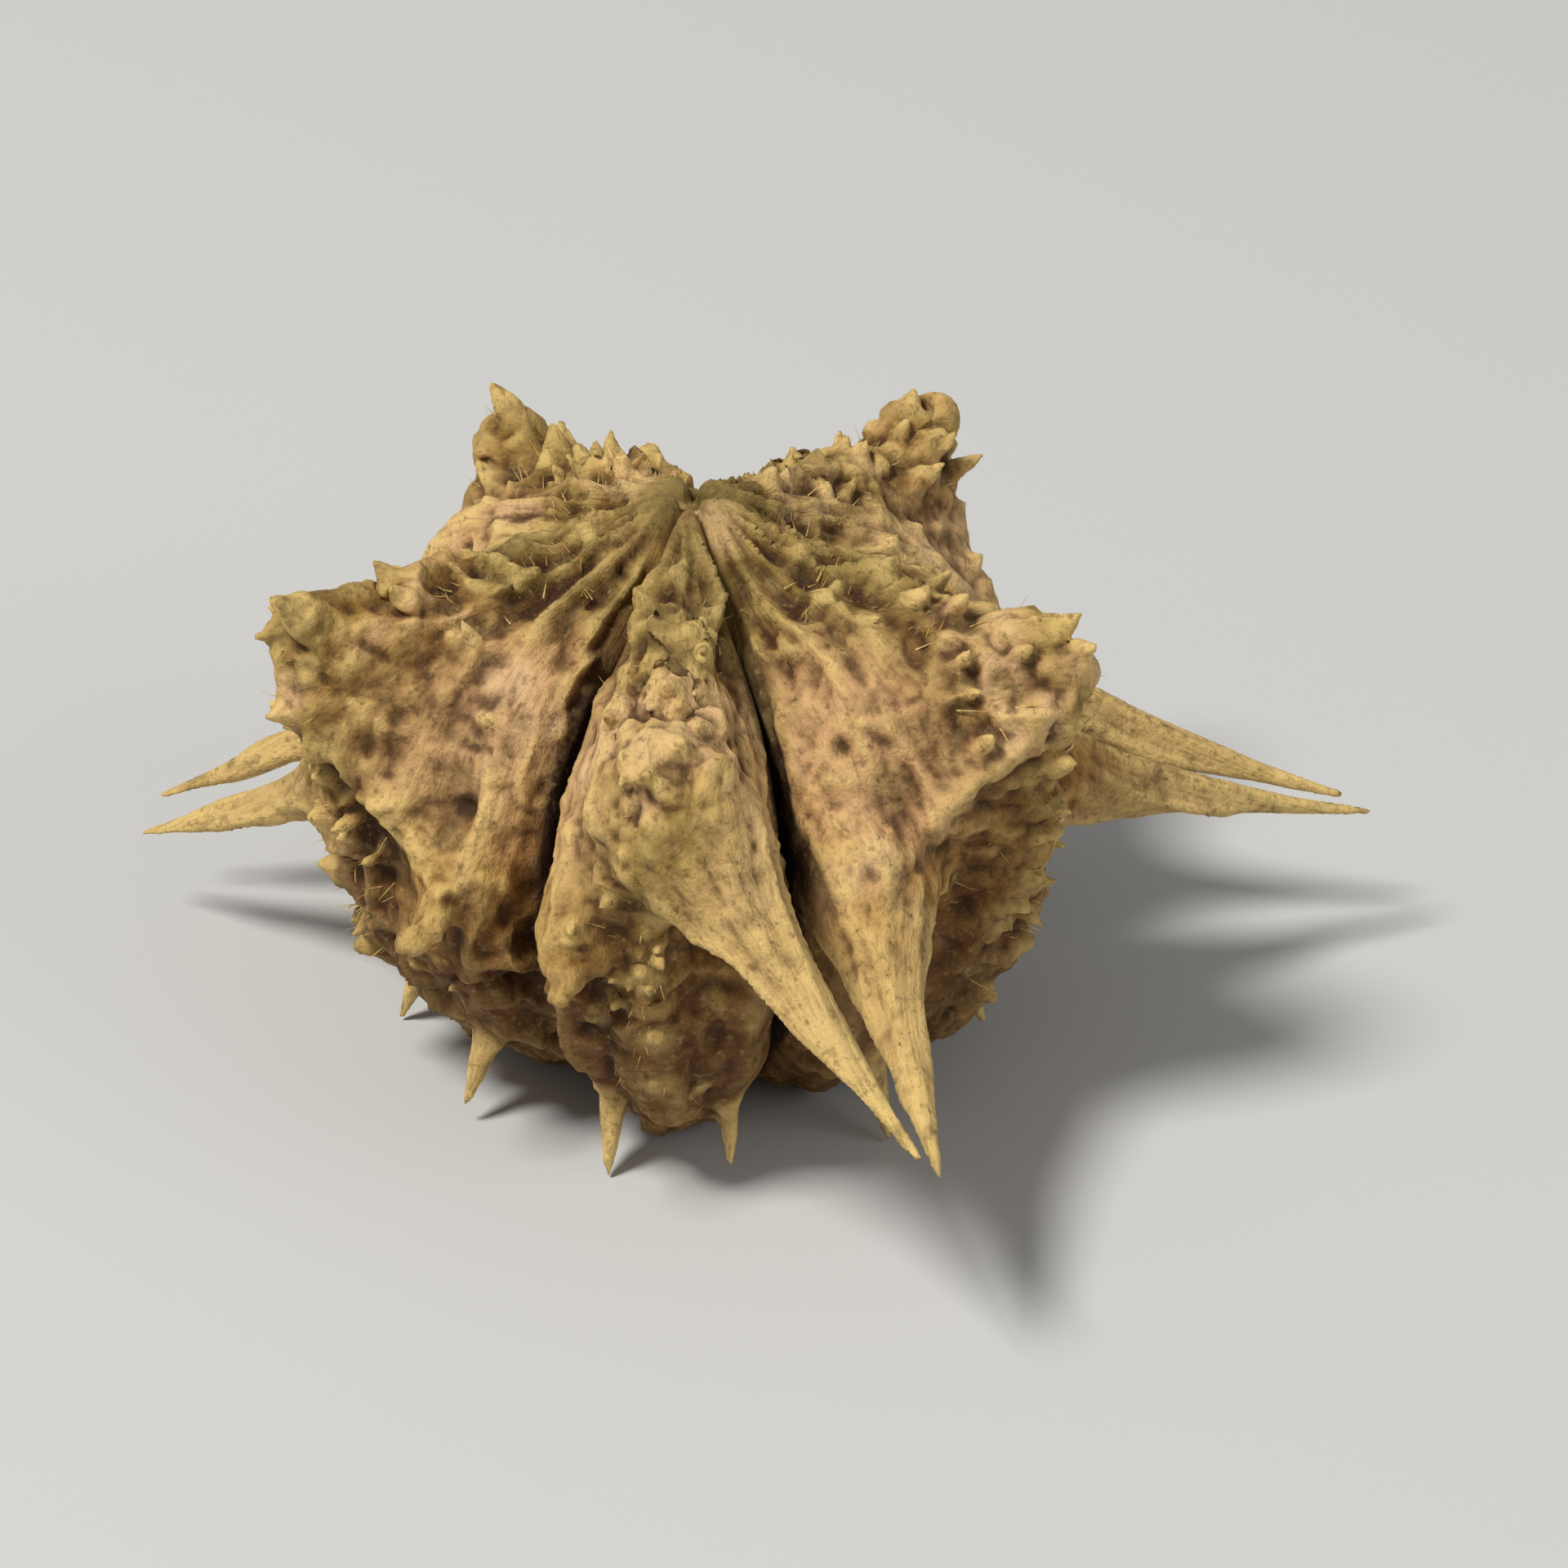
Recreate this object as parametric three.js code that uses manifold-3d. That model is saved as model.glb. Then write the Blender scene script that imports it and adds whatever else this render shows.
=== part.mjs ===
// A dry caltrop seed pod, the fruit of a low ground vine. Five woody nutlets stand round one upright axis,
// with a narrow crack between each two. Each nutlet has a toothed crest down its back, a raised margin beside
// each crack, two long spines at mid height and two short ones near its foot. The long spines of neighbours
// point out and down side by side, over the crack between them, and their tips almost meet.
// Millimetres, +Z up. The pod's front faces -Y, and a bearing is counted from there towards +X.
import * as THREE from 'three';
import { mergeVertices } from 'three/addons/utils/BufferGeometryUtils.js';
import Module from 'manifold-3d';

const wasm = await Module();
wasm.setup();

// The whole pod
const BODY_RADIUS = 4.25; // from the axis to a nutlet's back at mid height
const MID_HEIGHT = 3.7; // the widest level, above the surface that the pod rests on
const TOP_RISE = 3.45; // from the widest level to the top
const FOOT_DROP = 3.95; // from the widest level to where the foot would end, were it not worn flat
const TOP_SQUARENESS = 2.45; // 2 is an ellipse, and more is boxier
const FOOT_SQUARENESS = 1.9;
const BEAK_RISE = 0.8; // the pointed inner corner at the top of each nutlet
const BEAK_SPREAD = THREE.MathUtils.degToRad(15);
const CRACK_SHIFT = 0.12; // how far each nutlet stands out from the axis, which opens the cracks

// Relief on a nutlet's back
const CRACK_VALLEY = 0.17; // share of the radius that the back falls by beside a crack
const VALLEY_SHARPNESS = 4;
const CREST_RISE = 0.34;
const CREST_HALF_WIDTH = 0.42;
const CREST_WANDER = 0.07; // how far the crest strays to the sides, as a share of half the back's width
const CORNER_LEVEL = THREE.MathUtils.degToRad(57); // the crest's high corner, measured down from the top of the axis
const CORNER_SPREAD = THREE.MathUtils.degToRad(22);
const CORNER_WIDENING = 0.75;
const MARGIN_RISE = 0.3;
const MARGIN_HALF_WIDTH = 0.34;
const MARGIN_FROM_CRACK = 0.62;
const STRUT_RISE = 0.45; // the ridge from the high corner down to each long spine
const STRUT_HALF_WIDTH = 0.5;
const SWELL = 0.16; // low, broad unevenness of the dried husk

// Long spines
const SPINE_SUNK_BACK = 0.35; // how far a root lies behind the husk's surface, back along the spine
const SPINE_SUNK_IN = 0.7; // and in towards the pod's centre
const ROOT_ROUND = 0.15; // share of a spine's length over which the sunk end is rounded
const SPINE_TIP_GAP = 0.16; // from a tip to the middle of the crack under it
const SPINE_TIP_RADIUS = 0.05;
const SPINE_SHAFT_RADIUS = 0.42;
const SPINE_FLARE = 0.75;
const SPINE_FLATNESS = 0.8;
const SPINE_BOW = 0.22; // how far the middle hangs below the straight line to the tip
const STUB_TIP_RADIUS = 0.12; // where a spine has broken off short
const STUB_FLARE = 0.35;

// Short spines near the foot
const FOOT_SPINE_LEVEL = THREE.MathUtils.degToRad(122);
const FOOT_SPINE_PLACE = 0.5; // share of the way from the crest to the crack
const FOOT_SPINE_REACH = 3.7; // from the axis to the tip
const FOOT_SPINE_LIFT = 0.3; // the tips stand this high, or on the surface itself

// Teeth of the crest and warts of the back
const TEETH = 9;
const TOOTH_RADIUS = 0.27;
const TOOTH_HEIGHT = 0.42;
const FIRST_TOOTH = THREE.MathUtils.degToRad(17);
const LAST_TOOTH = THREE.MathUtils.degToRad(118);
const TOOTH_LEAN = 0.35;
const WARTS_PER_RADIAN = 9;
const WART_RADIUS = 0.18;

// Each nutlet from its left crack to its right one, in degrees of bearing, with the rise of its crest's high
// corner and its left and its right long spine: the level of the root, measured down from the top of the axis,
// its distance from the crack, the length, the drop below level and the girth, where 1 is an ordinary spine.
// The front nutlet is narrow, and the spines at its left crack are stubs.
const NUTLETS = [
  {
    name: 'nutlet_front', from: -29, to: 20, corner: 0.3,
    spines: [
      { level: 84, inset: 0.9, length: 0.6, drop: 40, girth: 1 },
      { level: 60, inset: 1.45, length: 5.2, drop: 34, girth: 1.3 },
    ],
  },
  {
    name: 'nutlet_right', from: 20, to: 103, corner: 1.3,
    spines: [
      { level: 76, inset: 0.8, length: 4.3, drop: 27, girth: 1.15 },
      { level: 85, inset: 1.05, length: 4.9, drop: 25, girth: 1 },
    ],
  },
  {
    name: 'nutlet_back_right', from: 103, to: 176, corner: 0.15,
    spines: [
      { level: 85, inset: 1.05, length: 4.6, drop: 27, girth: 1 },
      { level: 82, inset: 1.05, length: 4.9, drop: 22, girth: 1 },
    ],
  },
  {
    name: 'nutlet_back_left', from: 176, to: 250, corner: 0.2,
    spines: [
      { level: 78, inset: 1.05, length: 5.0, drop: 30, girth: 1 },
      { level: 88, inset: 1.05, length: 3.8, drop: 36, girth: 1 },
    ],
  },
  {
    name: 'nutlet_left', from: 250, to: 331, corner: 1.1,
    spines: [
      { level: 90, inset: 1.05, length: 3.9, drop: 38, girth: 1 },
      { level: 84, inset: 1.0, length: 0.7, drop: 45, girth: 1 },
    ],
  },
];
const STUB_LENGTH = 2; // a spine shorter than this is a broken one

const RINGS = 20;
const STRIPS = 18;
const HUSK = { color: 0xb49560, roughness: 0.82, metalness: 0 };

const degrees = THREE.MathUtils.degToRad;
const centre = new THREE.Vector3(0, 0, MID_HEIGHT);
const bell = (x, halfWidth) => Math.exp(-((x / halfWidth) ** 2));

// The same seed gives the same numbers from 0 to 1.
function seededRandom(seed) {
  let state = seed >>> 0;
  return () => {
    state = (state + 0x6d2b79f5) >>> 0;
    let t = Math.imul(state ^ (state >>> 15), state | 1);
    t = (t + Math.imul(t ^ (t >>> 7), t | 61)) ^ t;
    return ((t ^ (t >>> 14)) >>> 0) / 4294967296;
  };
}

// A unit vector at a bearing, level or at an angle down from the top of the axis.
function direction(bearing, level = Math.PI / 2) {
  const out = Math.sin(level);
  return new THREE.Vector3(out * Math.sin(bearing), -out * Math.cos(bearing), Math.cos(level));
}

// The plain pod outline, before any relief: its reach from the pod's centre at an angle down from the top.
function outlineReach(level) {
  const rising = Math.cos(level) > 0;
  const power = rising ? TOP_SQUARENESS : FOOT_SQUARENESS;
  const height = rising ? TOP_RISE : FOOT_DROP;
  const across = (Math.sin(level) / BODY_RADIUS) ** power;
  const upright = (Math.abs(Math.cos(level)) / height) ** power;
  return (across + upright) ** (-1 / power);
}

// Where the crest and a long spine's root lie across the back, as a place: -1 is the left crack, 1 the right one.
const crestPlace = (nutlet, level) => CREST_WANDER * Math.sin(3.1 * level + 7 * nutlet.middle);
const spineOf = (nutlet, side) => nutlet.spines[side < 0 ? 0 : 1];
const spinePlace = (nutlet, side) => {
  const { level, inset } = spineOf(nutlet, side);
  return side * (1 - inset / (outlineReach(level) * Math.sin(level) * nutlet.halfWidth));
};

// The ridge that runs from the crest's high corner to the root of the long spine on one side.
function strutRise(nutlet, level, place, arc, side) {
  const span = Math.max(spineOf(nutlet, side).level - CORNER_LEVEL, 0.02);
  const share = (level - CORNER_LEVEL) / span;
  const along = THREE.MathUtils.clamp(share, 0, 1);
  const past = (share - along) * span * BODY_RADIUS;
  const across = arc * (place - along * spinePlace(nutlet, side));
  return STRUT_RISE * bell(Math.hypot(across, past), STRUT_HALF_WIDTH);
}

// The reach of a nutlet's back from the pod's centre.
function backReach(nutlet, level, place) {
  const plain = outlineReach(level);
  const band = Math.sin(level);
  const arc = plain * band * nutlet.halfWidth;
  const bearing = nutlet.middle + place * nutlet.halfWidth;
  const fromCrest = arc * (place - crestPlace(nutlet, level));
  const fromCrack = arc * (1 - Math.abs(place));
  const corner = bell(level - CORNER_LEVEL, CORNER_SPREAD);
  const valley = (CRACK_VALLEY * band ** 1.2 + 0.02) * Math.abs(place) ** VALLEY_SHARPNESS;
  const crest = CREST_RISE * bell(fromCrest, CREST_HALF_WIDTH) * band ** 0.6;
  const peak = nutlet.corner * corner * bell(fromCrest, CREST_HALF_WIDTH + CORNER_WIDENING);
  const margin = MARGIN_RISE * bell(fromCrack - MARGIN_FROM_CRACK, MARGIN_HALF_WIDTH) * band ** 1.5;
  const struts = strutRise(nutlet, level, place, arc, -1) + strutRise(nutlet, level, place, arc, 1);
  const swell = SWELL * band * Math.sin(5.3 * bearing + 1.1) * Math.sin(3.7 * level + 2 * Math.sin(2 * bearing));
  const beak = BEAK_RISE * bell(level, BEAK_SPREAD);
  return plain * (1 - valley) + crest + peak + margin + struts + swell + beak;
}

function backPoint(nutlet, level, place, raise = 0) {
  const bearing = nutlet.middle + place * nutlet.halfWidth;
  return direction(bearing, level).multiplyScalar(backReach(nutlet, level, place) + raise).add(centre);
}

// The angle down from the top where the back meets the resting surface.
function footLevel(nutlet, place) {
  let above = Math.PI / 2;
  let below = Math.PI;
  for (let step = 0; step < 30; step += 1) {
    const level = (above + below) / 2;
    if (backPoint(nutlet, level, place).z > 0) above = level;
    else below = level;
  }
  return above;
}

function geometryFrom(points, triangles) {
  const geometry = new THREE.BufferGeometry();
  geometry.setAttribute('position', new THREE.Float32BufferAttribute(points.flatMap((p) => p.toArray()), 3));
  geometry.setIndex(triangles.flat());
  return geometry;
}

function solidFrom(geometry) {
  geometry.deleteAttribute('normal');
  geometry.deleteAttribute('uv');
  const merged = mergeVertices(geometry, 1e-4);
  return new wasm.Manifold(new wasm.Mesh({
    numProp: 3,
    vertProperties: merged.attributes.position.array,
    triVerts: new Uint32Array(merged.index.array),
  }));
}

// The wedge-shaped body: the back as a grid of points, two flat sides that meet on the axis, and a flat foot.
function bodySolid(nutlet) {
  const points = [backPoint(nutlet, 0, 0), centre.clone(), new THREE.Vector3(0, 0, 0)];
  const [top, middle, foot] = [0, 1, 2];
  const at = (ring, strip) => (ring === 0 ? top : 3 + (ring - 1) * (STRIPS + 1) + strip);
  const place = (strip) => {
    const even = (2 * strip) / STRIPS - 1;
    return even * (0.38 + 0.62 * even * even); // strips are narrow at the crest
  };
  const lowest = Array.from({ length: STRIPS + 1 }, (_, strip) => footLevel(nutlet, place(strip)));
  for (let ring = 1; ring <= RINGS; ring += 1) {
    for (let strip = 0; strip <= STRIPS; strip += 1) {
      points.push(backPoint(nutlet, (lowest[strip] * ring) / RINGS, place(strip)));
      if (ring === RINGS) points.at(-1).z = 0;
    }
  }
  const triangles = [];
  for (let strip = 0; strip < STRIPS; strip += 1) {
    triangles.push([top, at(1, strip), at(1, strip + 1)]);
    for (let ring = 1; ring < RINGS; ring += 1) {
      const [a, b, c, d] = [at(ring, strip), at(ring + 1, strip), at(ring + 1, strip + 1), at(ring, strip + 1)];
      triangles.push([a, b, c], [a, c, d]);
    }
    triangles.push([at(RINGS, strip), foot, at(RINGS, strip + 1)]);
  }
  for (let ring = 0; ring < RINGS; ring += 1) {
    triangles.push([middle, at(ring + 1, 0), at(ring, 0)]);
    triangles.push([middle, at(ring, STRIPS), at(ring + 1, STRIPS)]);
  }
  triangles.push([middle, foot, at(RINGS, 0)], [middle, at(RINGS, STRIPS), foot]);
  return solidFrom(geometryFrom(points, triangles));
}

// A tapered tube that ends in a point. radiusAt gives the radius at a share of the curve's length.
function taperedSolid(curve, radiusAt, sides, rings, flatness = 1) {
  const points = [];
  const triangles = [];
  const across = new THREE.Vector3();
  const up = new THREE.Vector3();
  for (let ring = 0; ring < rings; ring += 1) {
    const share = ring / rings;
    const along = curve.getTangentAt(share);
    across.crossVectors(new THREE.Vector3(0, 0, 1), along).normalize();
    up.crossVectors(along, across);
    for (let side = 0; side < sides; side += 1) {
      const turn = (2 * Math.PI * side) / sides;
      const point = curve.getPointAt(share);
      point.addScaledVector(across, radiusAt(share) * Math.cos(turn));
      point.addScaledVector(up, radiusAt(share) * flatness * Math.sin(turn));
      points.push(point);
    }
  }
  const tip = points.push(curve.getPointAt(1)) - 1;
  const last = (rings - 1) * sides;
  for (let side = 0; side < sides; side += 1) {
    const next = (side + 1) % sides;
    for (let ring = 0; ring < rings - 1; ring += 1) {
      const [a, b] = [ring * sides + side, ring * sides + next];
      triangles.push([a, b, b + sides], [a, b + sides, a + sides]);
    }
    triangles.push([last + side, last + next, tip]);
    if (side > 0 && next > 0) triangles.push([0, next, side]);
  }
  return solidFrom(geometryFrom(points, triangles));
}

// Where a long spine leaves the husk and where it ends. side is -1 at the left crack and 1 at the right one.
function spineEnds(nutlet, side) {
  const { level, length, drop } = spineOf(nutlet, side);
  const crack = nutlet.middle + side * nutlet.halfWidth;
  const root = backPoint(nutlet, level, spinePlace(nutlet, side));
  const out = direction(crack);
  const sideways = direction(crack + Math.PI / 2);
  const run = length * Math.cos(drop);
  const rootAside = -side * root.dot(sideways);
  const tip = out.clone().multiplyScalar(root.dot(out) + run);
  tip.addScaledVector(sideways, -side * (length < STUB_LENGTH ? rootAside : SPINE_TIP_GAP));
  tip.z = root.z - length * Math.sin(drop);
  return { root, tip };
}

function longSpine(nutlet, side) {
  const { girth } = spineOf(nutlet, side);
  const { root, tip } = spineEnds(nutlet, side);
  const along = tip.clone().sub(root).normalize();
  const inward = centre.clone().sub(root).normalize();
  const start = root.clone().addScaledVector(along, -SPINE_SUNK_BACK).addScaledVector(inward, SPINE_SUNK_IN);
  const bend = start.clone().lerp(tip, 0.5);
  const stub = root.distanceTo(tip) < STUB_LENGTH;
  bend.z -= stub ? 0 : SPINE_BOW;
  const curve = new THREE.QuadraticBezierCurve3(start, bend, tip);
  const tipRadius = stub ? STUB_TIP_RADIUS : SPINE_TIP_RADIUS;
  const flare = stub ? STUB_FLARE : SPINE_FLARE;
  const radiusAt = (share) => {
    const round = 0.35 + 0.65 * Math.sin(Math.min(share / ROOT_ROUND, 1) * (Math.PI / 2));
    return (tipRadius + girth * (SPINE_SHAFT_RADIUS * (1 - share) + flare * (1 - share) ** 4)) * round;
  };
  return taperedSolid(curve, radiusAt, 8, 10, SPINE_FLATNESS);
}

function footSpine(nutlet, side) {
  const place = side * FOOT_SPINE_PLACE;
  const start = backPoint(nutlet, FOOT_SPINE_LEVEL, place, -0.7);
  const tip = direction(nutlet.middle + place * nutlet.halfWidth).multiplyScalar(FOOT_SPINE_REACH);
  tip.z = side < 0 ? 0 : FOOT_SPINE_LIFT;
  const bend = start.clone().lerp(tip, 0.55);
  bend.z += 0.15;
  const curve = new THREE.QuadraticBezierCurve3(start, bend, tip);
  const radiusAt = (share) => 0.05 + 0.25 * (1 - share) + 0.25 * (1 - share) ** 4;
  return taperedSolid(curve, radiusAt, 6, 5);
}

// A small cone that stands on the back and leans by the given vector.
function coneOnBack(nutlet, level, place, radius, height, lean) {
  const sunk = 0.25;
  const root = backPoint(nutlet, level, place, -sunk);
  const bearing = nutlet.middle + place * nutlet.halfWidth;
  const axis = direction(bearing, level).add(lean).normalize();
  const cone = new THREE.ConeGeometry(radius, height + sunk, 5);
  cone.translate(0, (height + sunk) / 2, 0);
  cone.applyQuaternion(new THREE.Quaternion().setFromUnitVectors(new THREE.Vector3(0, 1, 0), axis));
  cone.translate(root.x, root.y, root.z);
  return solidFrom(cone);
}

function teeth(nutlet, random) {
  return Array.from({ length: TEETH }, (_, index) => {
    const level = FIRST_TOOTH + ((LAST_TOOTH - FIRST_TOOTH) * (index + 0.5 * random())) / (TEETH - 0.5);
    const corner = bell(level - CORNER_LEVEL, CORNER_SPREAD);
    const height = TOOTH_HEIGHT * (0.65 + 0.7 * corner) * (0.75 + 0.5 * random());
    const sideways = direction(nutlet.middle + Math.PI / 2);
    const lean = sideways.multiplyScalar((index % 2 ? 1 : -1) * TOOTH_LEAN * (0.4 + 0.6 * random()));
    lean.z += 0.25;
    return coneOnBack(nutlet, level, crestPlace(nutlet, level), TOOTH_RADIUS, height, lean);
  });
}

function warts(nutlet, random) {
  const count = Math.round(WARTS_PER_RADIAN * nutlet.halfWidth * 2);
  return Array.from({ length: count }, () => {
    const level = degrees(24 + 100 * random());
    const place = (random() < 0.5 ? -1 : 1) * (0.2 + 0.62 * random());
    const size = WART_RADIUS * (0.7 + 0.6 * random());
    return coneOnBack(nutlet, level, place, size, size * 0.75, new THREE.Vector3());
  });
}

// Everything between the two planes on which a nutlet meets its neighbours.
function sectorSolid(nutlet) {
  const reach = 14;
  const height = 12;
  const outline = new THREE.Shape();
  outline.moveTo(0, 0);
  for (const side of [-1, 0, 1]) {
    const edge = direction(nutlet.middle + side * nutlet.halfWidth).multiplyScalar(reach);
    outline.lineTo(edge.x, edge.y);
  }
  const sector = new THREE.ExtrudeGeometry(outline, { depth: height, bevelEnabled: false });
  return solidFrom(sector);
}

function nutletMesh(nutlet, number) {
  const random = seededRandom(101 + number);
  const pieces = [bodySolid(nutlet)];
  for (const side of [-1, 1]) pieces.push(longSpine(nutlet, side), footSpine(nutlet, side));
  pieces.push(...teeth(nutlet, random), ...warts(nutlet, random));
  const whole = pieces.reduce((joined, piece) => joined.add(piece)).intersect(sectorSolid(nutlet));
  const { vertProperties, triVerts } = whole.getMesh();
  const geometry = new THREE.BufferGeometry();
  geometry.setAttribute('position', new THREE.BufferAttribute(vertProperties, 3));
  geometry.setIndex(new THREE.BufferAttribute(triVerts, 1));
  const mesh = new THREE.Mesh(geometry, new THREE.MeshStandardMaterial(HUSK));
  mesh.name = nutlet.name;
  mesh.position.copy(direction(nutlet.middle)).multiplyScalar(CRACK_SHIFT);
  return mesh;
}

for (const nutlet of NUTLETS) {
  nutlet.middle = degrees((nutlet.from + nutlet.to) / 2);
  nutlet.halfWidth = degrees((nutlet.to - nutlet.from) / 2);
  for (const spine of nutlet.spines) {
    spine.level = degrees(spine.level);
    spine.drop = degrees(spine.drop);
  }
}

const pod = new THREE.Group();
pod.add(...NUTLETS.map(nutletMesh));

// The origin lies on the resting surface, midway between the outermost spine tips.
const tips = new THREE.Box3();
for (const nutlet of NUTLETS) {
  const shift = direction(nutlet.middle).multiplyScalar(CRACK_SHIFT);
  for (const side of [-1, 1]) tips.expandByPoint(spineEnds(nutlet, side).tip.add(shift));
}
pod.position.set(-(tips.min.x + tips.max.x) / 2, -(tips.min.y + tips.max.y) / 2, 0);

export default pod;
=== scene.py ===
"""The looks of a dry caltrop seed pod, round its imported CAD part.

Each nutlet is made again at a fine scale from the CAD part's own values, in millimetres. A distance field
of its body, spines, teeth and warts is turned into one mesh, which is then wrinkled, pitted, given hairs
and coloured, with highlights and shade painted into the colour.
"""
import math

import bpy
import numpy as np
import openvdb
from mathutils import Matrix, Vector


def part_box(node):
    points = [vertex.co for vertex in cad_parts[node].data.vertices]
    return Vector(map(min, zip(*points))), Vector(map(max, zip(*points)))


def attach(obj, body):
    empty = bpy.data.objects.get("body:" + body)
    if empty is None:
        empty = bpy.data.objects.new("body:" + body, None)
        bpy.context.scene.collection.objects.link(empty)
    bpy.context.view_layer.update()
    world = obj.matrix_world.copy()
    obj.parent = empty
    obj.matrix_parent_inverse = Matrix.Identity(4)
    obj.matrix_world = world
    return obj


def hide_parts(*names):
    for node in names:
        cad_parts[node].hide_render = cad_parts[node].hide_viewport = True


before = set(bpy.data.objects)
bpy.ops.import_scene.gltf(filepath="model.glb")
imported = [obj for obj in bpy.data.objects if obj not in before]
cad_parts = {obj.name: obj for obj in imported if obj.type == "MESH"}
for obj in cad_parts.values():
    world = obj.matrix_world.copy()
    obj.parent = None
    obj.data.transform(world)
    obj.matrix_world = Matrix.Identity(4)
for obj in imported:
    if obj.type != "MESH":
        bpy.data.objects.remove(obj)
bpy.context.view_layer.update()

MM = 0.001

# How finely the field is sampled, and over how many rounds the surface is smoothed to find its hollows,
# which take painted shade
VOXEL = 0.056
DEPTH_ROUNDS = 40

# The grid round each nutlet
GRID_ROOM = 0.7
FIELD_SLOPE = 0.85  # makes the distance from the lumpy back more nearly a true one

# Cracks
CRACK_CLOSING = 0.11  # how far each side fills the crack near the top, where the nutlets hold together
CRACK_EDGE = 0.06  # rounding of the edges along the cracks

# Spines, teeth and warts, rounder than the solids: points along each, and how far it blends into the back
SPINE_POINTS = 26
SPINE_BLEND = 0.35
SPINE_RIBBING = 0.09  # of the radius
FOOT_SPINE_POINTS = 14
FOOT_SPINE_BLEND = 0.25
FOOT_SPINE_TIP_RADIUS = 0.04
FOOT_SPINE_LOW = 0.03
CONE_POINTS = 5
CONE_BLEND = 0.14
CONE_TIP_RADIUS = 0.03

# Small sharp points that the solids don't have
DENTICLES = 30
DENTICLE_LEVELS = (28, 104)  # in degrees
DENTICLE_SPREAD = 0.4
DENTICLE_LEAN = 0.4
DENTICLE_RADII = (0.11, 0.18)
DENTICLE_HEIGHTS = (0.2, 0.4)
DENTICLE_SEED = 700

# Hairs
HAIRS = 170
HAIR_LEVELS = (0.36, 2.0)  # in radians
HAIR_TOP_LEVELS = (0.36, 0.8)
HAIR_SUNK = 0.06
HAIR_LEAN = 0.42
HAIR_LENGTHS = (0.18, 0.45)
HAIR_RADII = (0.011, 0.017)
HAIR_CURL = 0.25
HAIR_RINGS = 4
HAIR_SIDES = 3
HAIR_SEED = 500

# Sizes and heights of the fine relief on the husk
LUMP_SIZE = 1.5
LUMP_HEIGHT = 0.2
FOLD_SIZE = 0.85
FOLD_HEIGHT = 0.24
RIB_SIZE = 0.42
RIB_HEIGHT = 0.12
KNOT_SIZE = 0.7
KNOT_HEIGHT = 0.14
CREASE_SIZE = 0.8
CREASE_DEPTH = 0.06
FINE_CREASE_SIZE = 0.36
FINE_CREASE_DEPTH = 0.04
GRAIN_SPACING = 0.32
GRAIN_HEIGHT = 0.1
CONE_SPACING = 0.72
CONE_HEIGHT = 0.2
PIT_SPACING = 1.0
PIT_DEPTH = 0.14
FAN_RIDGES = 13
FAN_HEIGHT = 0.11
GRIT_SIZE = 0.17
GRIT_HEIGHT = 0.06
FIBRE_SIZE = 0.13
FIBRE_HEIGHT = 0.05

# On the spines
SPINE_RIB_SIZE = 0.5
SPINE_RIB_HEIGHT = 0.13
SPINE_LUMP_HEIGHT = 0.06

# Where a stem begins to count and counts fully: in radii from its line, then in shares of its length
STEM_REACH = (1.75, 1.1)
SPINE_START = (0.08, 0.3)
SHAFT_START = (0.22, 0.5)
TOOTH_TIP = (0.35, 0.8)

# Scale of the fibres' coordinates on the husk, and of those on a spine
FLOW_ACROSS = 4.7
FLOW_DOWN = 1.0
FLOW_OUT = 0.4
STREAK_ACROSS = 1.6
STREAK_ALONG = 0.12

# Camera, whose lens is in millimetres and the rest in metres
LENS = 285
CAMERA_AWAY = 0.16
CAMERA_ELEVATION = math.radians(33)
LOOK_AT = (0.0004, 0, 0.0034)

# Studio: each light's name, place and size in metres, power in watts and colour
LIT_POINT = (0, 0, 0.004)
LIGHTS = [
    ("key", (-0.12, -0.08, 0.25), 0.07, 0.74, (1.0, 0.98, 0.95)),
    ("fill", (0.22, -0.12, 0.14), 0.2, 0.14, (0.96, 0.98, 1.0)),
]
SKY_STRENGTH = 0.26
FLOOR_REACH = 2

# The CAD part's values: the whole pod
BODY_RADIUS = 4.25
MID_HEIGHT = 3.7
TOP_RISE = 3.45
FOOT_DROP = 3.95
TOP_SQUARENESS = 2.45
FOOT_SQUARENESS = 1.9
BEAK_RISE = 0.8
BEAK_SPREAD = math.radians(15)
CRACK_SHIFT = 0.12

# Relief on a nutlet's back
CRACK_VALLEY = 0.17
VALLEY_SHARPNESS = 4
CREST_RISE = 0.34
CREST_HALF_WIDTH = 0.42
CREST_WANDER = 0.07
CORNER_LEVEL = math.radians(57)
CORNER_SPREAD = math.radians(22)
CORNER_WIDENING = 0.75
MARGIN_RISE = 0.3
MARGIN_HALF_WIDTH = 0.34
MARGIN_FROM_CRACK = 0.62
STRUT_RISE = 0.45
STRUT_HALF_WIDTH = 0.5
SWELL = 0.16

# Long spines
SPINE_SUNK_BACK = 0.35
SPINE_SUNK_IN = 0.7
ROOT_ROUND = 0.15
SPINE_TIP_GAP = 0.16
SPINE_TIP_RADIUS = 0.05
SPINE_SHAFT_RADIUS = 0.42
SPINE_FLARE = 0.75
SPINE_FLATNESS = 0.8
SPINE_BOW = 0.22
STUB_TIP_RADIUS = 0.12
STUB_FLARE = 0.35
STUB_LENGTH = 2
ROOT_GIRTH = 0.35  # of the full girth, at a spine's sunk end

# Short spines near the foot
FOOT_SPINE_LEVEL = math.radians(122)
FOOT_SPINE_PLACE = 0.5
FOOT_SPINE_REACH = 3.7
FOOT_SPINE_LIFT = 0.3
FOOT_SPINE_SUNK = 0.7
FOOT_SPINE_SHAFT_RADIUS = 0.25
FOOT_SPINE_FLARE = 0.25

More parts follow.
